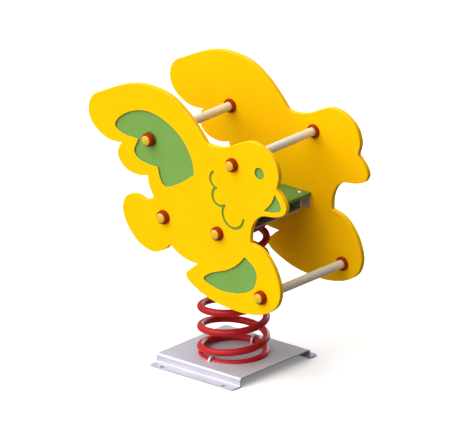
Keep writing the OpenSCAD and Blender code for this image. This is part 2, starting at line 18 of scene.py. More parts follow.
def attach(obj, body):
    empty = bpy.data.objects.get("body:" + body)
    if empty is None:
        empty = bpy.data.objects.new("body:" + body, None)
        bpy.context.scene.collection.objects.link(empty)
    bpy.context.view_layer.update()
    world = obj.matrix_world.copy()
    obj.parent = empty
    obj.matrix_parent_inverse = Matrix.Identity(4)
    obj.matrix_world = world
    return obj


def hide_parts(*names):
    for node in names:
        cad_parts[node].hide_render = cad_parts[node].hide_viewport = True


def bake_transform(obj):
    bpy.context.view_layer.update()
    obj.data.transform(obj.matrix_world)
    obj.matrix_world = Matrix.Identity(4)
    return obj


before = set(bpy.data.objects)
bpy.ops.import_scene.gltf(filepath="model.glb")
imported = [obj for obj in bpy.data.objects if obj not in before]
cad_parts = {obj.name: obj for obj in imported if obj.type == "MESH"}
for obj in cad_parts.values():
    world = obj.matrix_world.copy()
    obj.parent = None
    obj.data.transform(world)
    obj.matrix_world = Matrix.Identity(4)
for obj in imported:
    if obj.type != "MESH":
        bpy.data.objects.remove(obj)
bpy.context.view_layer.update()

LOG = logging.getLogger("spring_rider")
RIM = "rim"

# Points closer than this are one point, and faces thinner than a sliver are taken out
MERGE_DISTANCE = 1e-5
SLIVER = 1e-6
# Faces that turn by less than the first angle are one face, and by more than the second a corner
FLAT_ANGLE = math.radians(0.2)
EDGE_ANGLE = math.radians(30.0)

Rgb = tuple[int, int, int]
Colour = tuple[float, float, float, float]
Factors = tuple[float, float, float]
Range = tuple[float, float]
Value = bpy.types.NodeSocket | float | Colour | Vector

WHITE: Colour = (1.0, 1.0, 1.0, 1.0)


class Body(Enum):
    """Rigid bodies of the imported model."""

    BASE = "base"
    SPRING = "spring"
    RIDER = "rider"


class Side(Enum):
    """Sides of the bird; the value starts the names of that side's nodes."""

    RIGHT = "right"
    LEFT = "left"


class Effect(Enum):
    """Effects that several finishes share; the value names the method that builds it."""

    GRAIN = "grain"
    SCUFFS = "scuffs"
    DUST = "dust"
    RIM_WEAR = "rim_wear"
    SPANGLE = "spangle"


# Shader wiring


def linear(colour: Rgb) -> Colour:
    """Turns a colour as seen on a screen into the shader's linear values.

    Args:
        colour: Red, green and blue from 0 to 255.

    Returns:
        Linear red, green, blue and an alpha of 1.
    """
    shares = [channel / 255.0 for channel in colour]
    values = [s / 12.92 if s <= 0.04045 else ((s + 0.055) / 1.055) ** 2.4 for s in shares]
    return (values[0], values[1], values[2], 1.0)


class Wiring:
    """Adds the nodes of one shader tree and links them."""

    def __init__(self, tree: bpy.types.NodeTree) -> None:
        """Starts on an empty tree.

        Args:
            tree: Tree of a material or of a node group.
        """
        self.tree = tree

    def add(self, kind: str, settings: dict[str, object] | None = None,
            inputs: dict[str | int, Value] | None = None) -> bpy.types.Node:
        """Adds one node.

        Args:
            kind: Blender's name of the node type.
            settings: Properties of the node.
            inputs: Values or sockets for its inputs, by name or number.

        Returns:
            The new node.
        """
        node = self.tree.nodes.new(kind)
        for key, value in (settings or {}).items():
            setattr(node, key, value)
        for key, value in (inputs or {}).items():
            self.feed(value, node.inputs[key])
        return node

    def feed(self, value: Value, target: bpy.types.NodeSocket) -> None:
        """Links a socket to an input, or sets the input to a constant.

        Args:
            value: Socket or constant.
            target: Input that takes it.
        """
        if isinstance(value, bpy.types.NodeSocket):
            self.tree.links.new(value, target)
        else:
            target.default_value = value

    def math(self, operation: str, first: Value, second: Value) -> bpy.types.NodeSocket:
        """Adds a sum of two values.

        Args:
            operation: Kind of sum, such as MULTIPLY.
            first: First value or socket.
            second: Second value or socket.

        Returns:
            The result's socket.
        """
        node = self.add("ShaderNodeMath", {"operation": operation}, {0: first, 1: second})
        return node.outputs[0]

    def ramp(self, value: Value, low: float, high: float, to_low: float = 0.0,
             to_high: float = 1.0) -> bpy.types.NodeSocket:
        """Maps a range of a value onto another, smoothly and clamped.

        Args:
            value: Value to map.
            low: Value that becomes to_low.
            high: Value that becomes to_high.
            to_low: Result at the low end.
            to_high: Result at the high end.

        Returns:
            The result's socket.
        """
        node = self.add("ShaderNodeMapRange", {"interpolation_type": "SMOOTHSTEP"},
                        {0: value, 1: low, 2: high, 3: to_low, 4: to_high})
        return node.outputs[0]

    def mix(self, share: Value, first: Value, second: Value) -> bpy.types.NodeSocket:
        """Mixes two colours.

        Args:
            share: Share of the second colour.
            first: First colour.
            second: Second colour.

        Returns:
            The mixed colour's socket.
        """
        node = self.add("ShaderNodeMix", {"data_type": "RGBA"}, {0: share, 6: first, 7: second})
        return node.outputs[2]

    def noise(self, vector: Value, scale: Value, detail: float = 3.0) -> bpy.types.NodeSocket:
        """Adds a noise pattern.

        Args:
            vector: Where the pattern is read.
            scale: Cells to the metre.
            detail: Finer layers on top.

        Returns:
            The pattern's value.
        """
        node = self.add("ShaderNodeTexNoise", None, {"Vector": vector, "Scale": scale, "Detail": detail})
        return node.outputs["Fac"]

    def stretched(self, vector: Value, factors: Factors) -> bpy.types.NodeSocket:
        """Scales a place by three factors, so that a pattern read there is drawn out.

        Args:
            vector: Place to scale.
            factors: Factor along each axis.

        Returns:
            The scaled place.
        """
        node = self.add("ShaderNodeVectorMath", {"operation": "MULTIPLY"}, {0: vector, 1: Vector(factors)})
        return node.outputs[0]


# Effects that several finishes share


def new_group(effect: Effect,
              outputs: Iterable[str]) -> tuple[Wiring, bpy.types.Node, bpy.types.Node]:
    """Starts a shader group that is told where and at what scale to read its pattern.

    Args:
        effect: Effect that the group is named for.
        outputs: Names of its values.

    Returns:
        The group's wiring, its input node and its output node.
    """
    group = bpy.data.node_groups.new(effect.value, "ShaderNodeTree")
    group.interface.new_socket(name="Place", in_out="INPUT", socket_type="NodeSocketVector")
    group.interface.new_socket(name="Scale", in_out="INPUT", socket_type="NodeSocketFloat")
    for label in outputs:
        group.interface.new_socket(name=label, in_out="OUTPUT", socket_type="NodeSocketFloat")
    wiring = Wiring(group)
    return wiring, wiring.add("NodeGroupInput"), wiring.add("NodeGroupOutput")


@dataclass
class Effects:
    """The shader groups, each made when it is first asked for.

    A detail counts the finer layers of a noise, and a range is the stretch of values that a mask fades over.
    """

    grain_detail: float = 2.0
    mottle_share: float = 0.02
    mottle_detail: float = 5.0
    mottle_range: Range = (0.3, 0.7)
    scratch_detail: float = 4.0
    scratch_along: Factors = (1.0, 16.0, 11.0)
    along_range: Range = (0.64, 0.7)
    scratch_upright: Factors = (13.0, 12.0, 1.0)
    upright_range: Range = (0.66, 0.72)
    sparse_detail: float = 1.0
    sparse_range: Range = (0.45, 0.65)
    dust_detail: float = 6.0
    dust_range: Range = (0.35, 0.75)
    upward_range: Range = (0.5, 0.95)
    rub_detail: float = 5.0
    rub_range: Range = (0.42, 0.68)
    made: dict[Effect, bpy.types.NodeTree] = field(default_factory=dict)

    def use(self, wiring: Wiring, effect: Effect, place: Value, scale: float) -> bpy.types.Node:
        """Places an effect in a material.

        Args:
            wiring: The material's wiring.
            effect: Effect to place.
            place: Where the pattern is read.
            scale: Cells of the pattern to the metre.

        Returns:
            The placed group.
        """
        if effect not in self.made:
            self.made[effect] = getattr(self, effect.value)()
        node = wiring.add("ShaderNodeGroup")
        node.node_tree = self.made[effect]
        wiring.feed(place, node.inputs["Place"])
        wiring.feed(scale, node.inputs["Scale"])
        return node

    def grain(self) -> bpy.types.NodeTree:
        """Builds a fine surface grain with slow mottling.

        Returns:
            A group that puts out Height and Tone.
        """
        wiring, given, result = new_group(Effect.GRAIN, ("Height", "Tone"))
        place, scale = given.outputs["Place"], given.outputs["Scale"]
        fine = wiring.noise(place, scale, self.grain_detail)
        slow = wiring.noise(place, wiring.math("MULTIPLY", scale, self.mottle_share), self.mottle_detail)
        wiring.feed(fine, result.inputs["Height"])
        wiring.feed(wiring.ramp(slow, *self.mottle_range), result.inputs["Tone"])
        return wiring.tree

    def scuffs(self) -> bpy.types.NodeTree:
        """Builds thin handling scratches in two directions.

        Returns:
            A group that puts out Mask.
        """
        wiring, given, result = new_group(Effect.SCUFFS, ("Mask",))
        place, scale = given.outputs["Place"], given.outputs["Scale"]
        along = wiring.noise(wiring.stretched(place, self.scratch_along), scale, self.scratch_detail)
        upright = wiring.noise(wiring.stretched(place, self.scratch_upright), scale, self.scratch_detail)
        sparse = wiring.ramp(wiring.noise(place, scale, self.sparse_detail), *self.sparse_range)
        either = wiring.math("MAXIMUM", wiring.ramp(along, *self.along_range),
                             wiring.ramp(upright, *self.upright_range))
        wiring.feed(wiring.math("MULTIPLY", either, sparse), result.inputs["Mask"])
        return wiring.tree

    def dust(self) -> bpy.types.NodeTree:
        """Builds dust that settles on upward faces.

        Returns:
            A group that puts out Mask.
        """
        wiring, given, result = new_group(Effect.DUST, ("Mask",))
        normal = wiring.add("ShaderNodeNewGeometry").outputs["Normal"]
        upward = wiring.add("ShaderNodeSeparateXYZ", None, {0: normal}).outputs["Z"]
        spread = wiring.noise(given.outputs["Place"], given.outputs["Scale"], self.dust_detail)
        patchy = wiring.ramp(spread, *self.dust_range)
        settled = wiring.math("MULTIPLY", wiring.ramp(upward, *self.upward_range), patchy)
        wiring.feed(settled, result.inputs["Mask"])
        return wiring.tree

    def rim_wear(self) -> bpy.types.NodeTree:
        """Builds rubbing along the rounded edges that carry the rim attribute.

        Returns:
            A group that puts out Mask.
        """
        wiring, given, result = new_group(Effect.RIM_WEAR, ("Mask",))
        rim = wiring.add("ShaderNodeAttribute", {"attribute_name": RIM}).outputs["Fac"]
        spread = wiring.noise(given.outputs["Place"], given.outputs["Scale"], self.rub_detail)
        patchy = wiring.ramp(spread, *self.rub_range)
        wiring.feed(wiring.math("MULTIPLY", rim, patchy), result.inputs["Mask"])
        return wiring.tree

    def spangle(self) -> bpy.types.NodeTree:
        """Builds the crystal pattern of a zinc bath.

        Returns:
            A group that puts out Tone.
        """
        wiring, given, result = new_group(Effect.SPANGLE, ("Tone",))
        cells = wiring.add("ShaderNodeTexVoronoi", {"feature": "F1"},
                           {"Vector": given.outputs["Place"], "Scale": given.outputs["Scale"]})
        tone = wiring.add("ShaderNodeSeparateColor", None, {0: cells.outputs["Color"]}).outputs[0]
        wiring.feed(tone, result.inputs["Tone"])
        return wiring.tree


EFFECTS = Effects()


# Finishes


@dataclass(frozen=True)
class Finish:
    """A finish: its colours, gloss, grain and marks of use."""

    name: str
    slot: str
    colour: Rgb
    shade: Rgb
    roughness: float
    roughness_spread: float = 0.08
    metallic: float = 0.0
    specular: float = 0.4
    coat: float = 0.0
    grain_scale: float = 900.0
    grain_height: float = 0.00004
    mottle: float = 0.3
    scuff: float = 0.15
    scuff_scale: float = 18.0
    mark: Rgb = (236, 232, 220)
    dust: float = 0.12
    dust_scale: float = 14.0
    dust_colour: Rgb = (176, 166, 148)
    rim_wear: float = 0.0
    rim_scale: float = 45.0
    coat_roughness: float = 0.12

    def material(self) -> bpy.types.Material:
        """Makes the material, or finds it if it is made already.

        Returns:
            The material of this finish.
        """
        found = bpy.data.materials.get(self.name)
        if found is not None:
            return found
        made = bpy.data.materials.new(self.name)
        made.use_nodes = True
        made.node_tree.nodes.clear()
        self.wire(Wiring(made.node_tree))
        return made

    def wire(self, wiring: Wiring) -> None:
        """Wires the shader.

        Args:
            wiring: The material's empty tree.
        """
        place = wiring.add("ShaderNodeTexCoord").outputs["Object"]
        grain = EFFECTS.use(wiring, Effect.GRAIN, place, self.grain_scale)
        tone = wiring.math("MULTIPLY", grain.outputs["Tone"], self.mottle)
        colour = wiring.mix(tone, linear(self.colour), linear(self.shade))
        colour = self.marked(wiring, place, colour)
        rough = wiring.ramp(grain.outputs["Tone"], 0.0, 1.0, self.roughness - self.roughness_spread,
                            self.roughness + self.roughness_spread)
        bump = wiring.add("ShaderNodeBump", None,
                          {"Strength": 1.0, "Distance": self.grain_height,
                           "Height": self.height(wiring, place, grain.outputs["Height"])})
        shader = wiring.add("ShaderNodeBsdfPrincipled", None,
                            {"Base Color": colour, "Roughness": rough, "Metallic": self.metallic,
                             "Specular IOR Level": self.specular, "Coat Weight": self.coat,
                             "Coat Roughness": self.coat_roughness, "Normal": bump.outputs["Normal"]})
        wiring.add("ShaderNodeOutputMaterial", None, {"Surface": shader.outputs[0]})

    def marked(self, wiring: Wiring, place: bpy.types.NodeSocket,
               colour: bpy.types.NodeSocket) -> bpy.types.NodeSocket:
        """Adds scratches, rubbed edges and dust to the colour.

        Args:
            wiring: The material's wiring.
            place: Where patterns are read.
            colour: Colour without marks.

        Returns:
            The marked colour.
        """
        scratches = EFFECTS.use(wiring, Effect.SCUFFS, place, self.scuff_scale).outputs["Mask"]
        colour = wiring.mix(wiring.math("MULTIPLY", scratches, self.scuff), colour, linear(self.mark))
        if self.rim_wear > 0.0:
            rubbed = EFFECTS.use(wiring, Effect.RIM_WEAR, place, self.rim_scale).outputs["Mask"]
            colour = wiring.mix(wiring.math("MULTIPLY", rubbed, self.rim_wear), colour, linear(self.mark))
        settled = EFFECTS.use(wiring, Effect.DUST, place, self.dust_scale).outputs["Mask"]
        return wiring.mix(wiring.math("MULTIPLY", settled, self.dust), colour, linear(self.dust_colour))

    def height(self, wiring: Wiring, place: bpy.types.NodeSocket,
               grain: bpy.types.NodeSocket) -> bpy.types.NodeSocket:
        """Gives the height that the bump reads: here the grain alone."""
        return grain


@dataclass(frozen=True)
class ZincFinish(Finish):
    """Zinc-coated steel, with the crystal pattern of the bath."""

    spangle_scale: float = 90.0
    spangle_tone: float = 0.35

    def marked(self, wiring: Wiring, place: bpy.types.NodeSocket,
               colour: bpy.types.NodeSocket) -> bpy.types.NodeSocket:
        """Tints the crystals before the marks of use.

        Args:
            wiring: The material's wiring.
            place: Where patterns are read.
            colour: Colour without crystals.

        Returns:
            The colour with crystals and marks.
        """
        crystals = EFFECTS.use(wiring, Effect.SPANGLE, place, self.spangle_scale).outputs["Tone"]
        tint = wiring.math("MULTIPLY", crystals, self.spangle_tone)
        colour = wiring.mix(tint, colour, linear(self.shade))
        return super().marked(wiring, place, colour)


@dataclass(frozen=True)
class ThreadFinish(ZincFinish):
    """Zinc-coated bolts, with thread grooves below a height and above another."""

    thread_pitch: float = 0.00125
    thread_strength: float = 12.0
    thread_below: float = 0.024
    thread_above: float = 0.442

    def height(self, wiring: Wiring, place: bpy.types.NodeSocket,
               grain: bpy.types.NodeSocket) -> bpy.types.NodeSocket:
        """Adds thread grooves along Z to the grain.

        Args:
            wiring: The material's wiring.
            place: Where patterns are read.
            grain: Height of the grain.

        Returns:
            The height with grooves.
        """
        level = wiring.add("ShaderNodeSeparateXYZ", None, {0: place}).outputs["Z"]
        below = wiring.math("LESS_THAN", level, self.thread_below)
        above = wiring.math("GREATER_THAN", level, self.thread_above)
        threaded = wiring.math("MAXIMUM", below, above)
        groove = wiring.math("PINGPONG", level, self.thread_pitch / 2.0)
        deep = wiring.math("MULTIPLY", groove, self.thread_strength / self.thread_pitch)
        return wiring.math("ADD", wiring.math("MULTIPLY", deep, threaded), grain)


PANEL_SHEET = Finish(name="panel_sheet", slot="panel", colour=(254, 195, 1), shade=(250, 186, 1),
                     roughness=0.55, specular=0.04, grain_scale=700.0, grain_height=0.00005,
                     scuff=0.07, mark=(255, 226, 120), dust=0.04, rim_wear=0.2)
INLAY_SHEET = Finish(name="inlay_sheet", slot="inlay", colour=(121, 164, 78), shade=(110, 152, 67),
                     roughness=0.55, specular=0.15, grain_scale=700.0, grain_height=0.00005,
                     scuff=0.06, mark=(196, 216, 160), dust=0.04)
NECK_SHEET = replace(INLAY_SHEET, name="neck_sheet", colour=(124, 156, 34), shade=(112, 144, 26))
SEAT_SHEET = Finish(name="seat_sheet", slot="seat", colour=(84, 132, 46), shade=(74, 119, 38),
                    roughness=0.55, specular=0.2, grain_scale=420.0, grain_height=0.00016,
                    scuff=0.14, mark=(170, 200, 150), dust=0.1, rim_wear=0.2)
CAP_PLASTIC = Finish(name="cap_plastic", slot="cap", colour=(153, 46, 3), shade=(141, 40, 2),
                     roughness=0.46, specular=0.05, grain_scale=1500.0, grain_height=0.00001,
                     scuff=0.05, mark=(190, 92, 52), dust=0.02, rim_wear=0.08)
LID_PLASTIC = Finish(name="lid_plastic", slot="lid", colour=(216, 179, 48), shade=(202, 165, 37),
                     roughness=0.36, grain_scale=1500.0, grain_height=0.00001, scuff=0.08, dust=0.04)
BAR_COAT = Finish(name="bar_coat", slot="bar", colour=(228, 220, 198), shade=(214, 206, 184),
                  roughness=0.36, coat=0.12, grain_scale=1100.0, grain_height=0.00002,
                  scuff=0.16, mark=(170, 156, 126), dust=0.06)
SPRING_COAT = Finish(name="spring_coat", slot="spring", colour=(184, 16, 18), shade=(164, 9, 12),
                     roughness=0.4, specular=0.3, grain_scale=520.0, grain_height=0.00003,
                     scuff=0.06, mark=(226, 112, 104), dust=0.03)
PLATE_ZINC = ZincFinish(name="plate_zinc", slot="galvanised", colour=(202, 200, 211), shade=(191, 189, 201),
                        roughness=0.36, metallic=0.3, grain_scale=600.0, grain_height=0.00001, mottle=0.2,
                        scuff=0.0, dust=0.02, spangle_scale=120.0, spangle_tone=0.12)
# Painted shade: a dark grey for the walls of the anchor holes, standing in for the shade inside them.
HOLE_PAINTED_SHADE = Finish(name="hole_painted_shade", slot="galvanised", colour=(112, 110, 118), shade=(92, 90, 98),
                    roughness=0.8, metallic=0.2, grain_scale=900.0, scuff=0.02, dust=0.02)
CLAMP_ZINC = ThreadFinish(name="clamp_zinc", slot="zinc", colour=(226, 223, 220), shade=(206, 204, 204),
                          roughness=0.42, metallic=0.35, grain_scale=1200.0, grain_height=0.00002,
                          scuff=0.06, dust=0.04, spangle_scale=400.0, spangle_tone=0.15)
BRACKET_ZINC = ZincFinish(name="bracket_zinc", slot="bracket", colour=(184, 183, 190), shade=(162, 161, 168),
                          roughness=0.42, metallic=0.6, grain_scale=600.0, grain_height=0.00003,
                          scuff=0.08, dust=0.06)
BOLT_ZINC = ThreadFinish(name="bolt_zinc", slot="zinc", colour=(206, 206, 208), shade=(182, 182, 186),
                         roughness=0.26, metallic=0.9, grain_scale=1200.0, grain_height=0.00002,
                         scuff=0.1, dust=0.06, spangle_scale=400.0, spangle_tone=0.2)


# Solids and pieces


def merged_solid(node: str) -> bmesh.types.BMesh:
    """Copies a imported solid, joins its loose triangles and dissolves the cuts across flat faces.

    Args:
        node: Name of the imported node.

    Returns:
        The solid as a closed mesh.
    """
    bm = bmesh.new()
    bm.from_mesh(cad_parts[node].data)
    bmesh.ops.remove_doubles(bm, verts=bm.verts, dist=MERGE_DISTANCE)
    bmesh.ops.dissolve_limit(bm, angle_limit=FLAT_ANGLE, verts=bm.verts, edges=bm.edges)
    bm.normal_update()
    return bm


def is_sharp(edge: bmesh.types.BMEdge) -> bool:
    """Tells whether an edge is a corner of the solid and not a facet of a curve."""
    return len(edge.link_faces) == 2 and edge.calc_face_angle(0.0) > EDGE_ANGLE


def round_edges(bm: bmesh.types.BMesh, radius: float, steps: int,
                chosen: Callable[[bmesh.types.BMEdge], bool] = is_sharp) -> None:
    """Rounds edges and marks the new faces as rim.

    Args:
        bm: Mesh to change.
        radius: Radius of the rounding.
        steps: Faces across it.
        chosen: Test of which edges are rounded.
    """
    layer = bm.faces.layers.float.get(RIM) or bm.faces.layers.float.new(RIM)
    edges = [edge for edge in bm.edges if chosen(edge)]
    made = bmesh.ops.bevel(bm, geom=edges, offset=radius, offset_type="OFFSET", affect="EDGES",
                           segments=steps, profile=0.5, material=-1, clamp_overlap=False)
    for face in made["faces"]:
        face[layer] = 1.0
    bmesh.ops.dissolve_degenerate(bm, dist=SLIVER, edges=bm.edges)
    bm.normal_update()


def to_object(bm: bmesh.types.BMesh, name: str, finish: Finish,
              second: Finish | None = None) -> bpy.types.Object:
    """Turns a mesh into an object in the scene, smooth but for its corners.

    Args:
        bm: Mesh, which is freed.
        name: Name of the piece.
        finish: Its finish.
        second: Finish of the faces whose material index is 1.

    Returns:
        The object.
    """
    mesh = bpy.data.meshes.new(name)
    bm.to_mesh(mesh)
    bm.free()
    mesh.shade_smooth()
    mesh.set_sharp_from_angle(angle=EDGE_ANGLE)
    mesh.materials.append(finish.material())
    if second is not None:
        mesh.materials.append(second.material())
    piece = bpy.data.objects.new(name, mesh)
    bpy.context.scene.collection.objects.link(piece)
    even = piece.modifiers.new("even_normals", "WEIGHTED_NORMAL")
    even.keep_sharp = True
    LOG.info("%s: %d faces, %s", name, len(mesh.polygons), finish.name)
    return piece


def rounded_piece(node: str, body: Body, finish: Finish, radius: float, steps: int = 2) -> bpy.types.Object:
    """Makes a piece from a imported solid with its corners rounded, in the solid's place.

    Args:
        node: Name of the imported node.
        body: Body that it moves with.
        finish: Its finish.
        radius: Radius of the corners.
        steps: Faces across a corner.

    Returns:
        The piece.
    """
    bm = merged_solid(node)
    round_edges(bm, radius, steps)
    piece = to_object(bm, f"{node}_piece", finish)
    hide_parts(node)
    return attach(piece, body.value)


def dress_inside(node: str, finish: Finish) -> None:
    """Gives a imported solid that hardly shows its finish, and leaves its shape.

    Args:
        node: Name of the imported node.
        finish: Its finish.
    """
    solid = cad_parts[node]
    solid.data.materials.clear()
    solid.data.materials.append(finish.material())
    LOG.info("%s: packed solid, %s", node, finish.name)


# Sub-assemblies


@dataclass
class GroundPlate:
    """Folded plate on the ground with the U-bolts that hold the spring's lower end."""

    sheet_edge: float = 0.0007
    edge_steps: int = 2
    bolt_edge: float = 0.0005
    washer_edge: float = 0.00025
    anchor_x: float = 0.110
    anchor_y: float = 0.170
    anchor_radius: float = 0.0055

    def in_anchor_hole(self, face: bmesh.types.BMFace) -> bool:
        """Tells whether a face is part of the wall of an anchor hole."""
        return all(math.hypot(abs(vert.co.x) - self.anchor_x, abs(vert.co.y) - self.anchor_y)
                   < self.anchor_radius + MERGE_DISTANCE for vert in face.verts)

    def make_plate(self) -> None:
        """Rounds the plate's cut edges and lays painted shade, a dark grey, on the walls of its anchor
        holes.
        """
        bm = merged_solid("base_plate")
        round_edges(bm, self.sheet_edge, self.edge_steps)
        for face in bm.faces:
            # The walls of the anchor holes take the second finish, a dark grey painted shade.
            face.material_index = int(self.in_anchor_hole(face))
        plate = to_object(bm, "base_plate_piece", PLATE_ZINC, HOLE_PAINTED_SHADE)
        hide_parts("base_plate")
        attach(plate, Body.BASE.value)

    def build(self) -> None:
        """Makes the plate and rounds the hardware's corners."""
        self.make_plate()
        rounded_piece("lower_u_bolts", Body.BASE, CLAMP_ZINC, self.bolt_edge)
        rounded_piece("lower_u_bolt_washers", Body.BASE, BOLT_ZINC, self.washer_edge)
        rounded_piece("lower_u_bolt_nuts", Body.BASE, BOLT_ZINC, self.bolt_edge)


@dataclass
class CoilSpring:
    """Coil spring of round wire with closed, ground ends, in two halves that meet at mid-height."""

    coil_radius: float = 0.090
    wire_radius: float = 0.010
    seat_low: float = 0.028
    seat_high: float = 0.438
    lower_end_deg: float = 220.0
    coil_arc_deg: float = 3070.0
    closed_arc_deg: float = 315.0
    leave_arc_deg: float = 40.0
    closed_gap: float = 0.0006
    tip_thickness: float = 0.003
    step_deg: float = 5.0
    wire_sides: int = 28
    clamp_height: float = 0.018
    mid_margin: float = 0.011

    @property
    def middle(self) -> float:
        """Height of the middle of the spring."""
        return (self.seat_low + self.seat_high) / 2.0

    @property
    def tip_rise(self) -> float:
        """Height of the wire's middle over its seat, at the ground tip."""
        return self.tip_thickness - self.wire_radius

    def rises(self) -> list[float]:
        """Gives the wire's rise at each step from its lower end to mid-height.

        Returns:
            One rise for each step of step_deg.
        """
        leave = self.leave_arc_deg
        closed_rate = (2.0 * self.wire_radius + self.closed_gap) / 360.0
        work_arc = self.coil_arc_deg / 2.0 - self.closed_arc_deg - leave
        closed_rise = closed_rate * (self.closed_arc_deg + leave / 2.0)
        work_rise = self.middle - self.seat_low - self.tip_rise - closed_rise
        work_rate = work_rise / (work_arc + leave / 2.0)
        closed_steps = round(self.closed_arc_deg / self.step_deg)
        leave_steps = round(leave / self.step_deg)
        work_steps = round(work_arc / self.step_deg)
        leaving = [closed_rate + (work_rate - closed_rate) * (step + 0.5) / leave_steps
                   for step in range(leave_steps)]
        rates = [closed_rate] * closed_steps + leaving + [work_rate] * work_steps
        return [rate * self.step_deg for rate in rates]

    def lower_half(self) -> bmesh.types.BMesh:
        """Winds the wire from its lower end to mid-height and grinds the end flat.

        Returns:
            The lower half, closed at the cut and at mid-height.
        """
        bm = bmesh.new()
        bmesh.ops.create_circle(bm, cap_ends=True, segments=self.wire_sides, radius=self.wire_radius)
        upright = Matrix.Rotation(math.radians(90.0), 4, "X")
        out = Matrix.Translation((self.coil_radius, 0.0, self.seat_low + self.tip_rise))
        turned = Matrix.Rotation(math.radians(self.lower_end_deg), 4, "Z")
        bmesh.ops.transform(bm, matrix=turned @ out @ upright, verts=bm.verts)
        ring = list(bm.edges)
        for rise in self.rises():
            made = bmesh.ops.spin(bm, geom=ring, cent=(0.0, 0.0, 0.0), axis=(0.0, 0.0, 1.0),
                                  dvec=(0.0, 0.0, rise), angle=math.radians(self.step_deg), steps=1,
                                  use_merge=False)
            ring = [part for part in made["geom_last"] if isinstance(part, bmesh.types.BMEdge)]
        bmesh.ops.bisect_plane(bm, geom=[*bm.verts, *bm.edges, *bm.faces], dist=SLIVER / 10.0,
                               plane_co=(0.0, 0.0, self.seat_low), plane_no=(0.0, 0.0, -1.0),
                               clear_outer=True)
        cut = [edge for edge in bm.edges if edge.is_boundary
               and all(abs(vert.co.z - self.seat_low) < SLIVER for vert in edge.verts)]
        bmesh.ops.holes_fill(bm, edges=cut, sides=0)
        bmesh.ops.holes_fill(bm, edges=ring, sides=0)
        bmesh.ops.recalc_face_normals(bm, faces=bm.faces)
        return bm

    def build(self) -> None:
        """Makes both halves in the imported spring's place."""
        low = self.lower_half()
        high = low.copy()
        mid_angle = math.radians(self.lower_end_deg + self.coil_arc_deg / 2.0)
        axis = Vector((math.cos(mid_angle), math.sin(mid_angle), 0.0))
        half_turn = Matrix.Rotation(math.radians(180.0), 3, axis)
        bmesh.ops.rotate(high, cent=(0.0, 0.0, self.middle), matrix=half_turn, verts=high.verts)
        lower = to_object(low, "spring_lower_half", SPRING_COAT)
        upper = to_object(high, "spring_upper_half", SPRING_COAT)
        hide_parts("coil_spring")
        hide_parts("coil_spring")
        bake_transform(lower)
        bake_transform(upper)


@dataclass
class SeatGroup:
    """Seat board, its bracket, and the hardware that holds the spring's upper end."""

    board_edge: float = 0.0025
    board_steps: int = 3
    sheet_edge: float = 0.0007
    bolt_edge: float = 0.0005
    washer_edge: float = 0.00025

    def build(self) -> None:
        """Rounds the board, the sheet and the hardware."""
        rounded_piece("seat_board", Body.RIDER, SEAT_SHEET, self.board_edge, self.board_steps)
        rounded_piece("seat_bracket", Body.RIDER, BRACKET_ZINC, self.sheet_edge)
        rounded_piece("upper_u_bolts", Body.RIDER, CLAMP_ZINC, self.bolt_edge)
        for node in ("seat_bolts", "seat_bolt_nuts", "upper_u_bolt_nuts"):
            rounded_piece(node, Body.RIDER, BOLT_ZINC, self.bolt_edge)
        for node in ("seat_bolt_washers", "upper_u_bolt_washers"):
            rounded_piece(node, Body.RIDER, BOLT_ZINC, self.washer_edge)


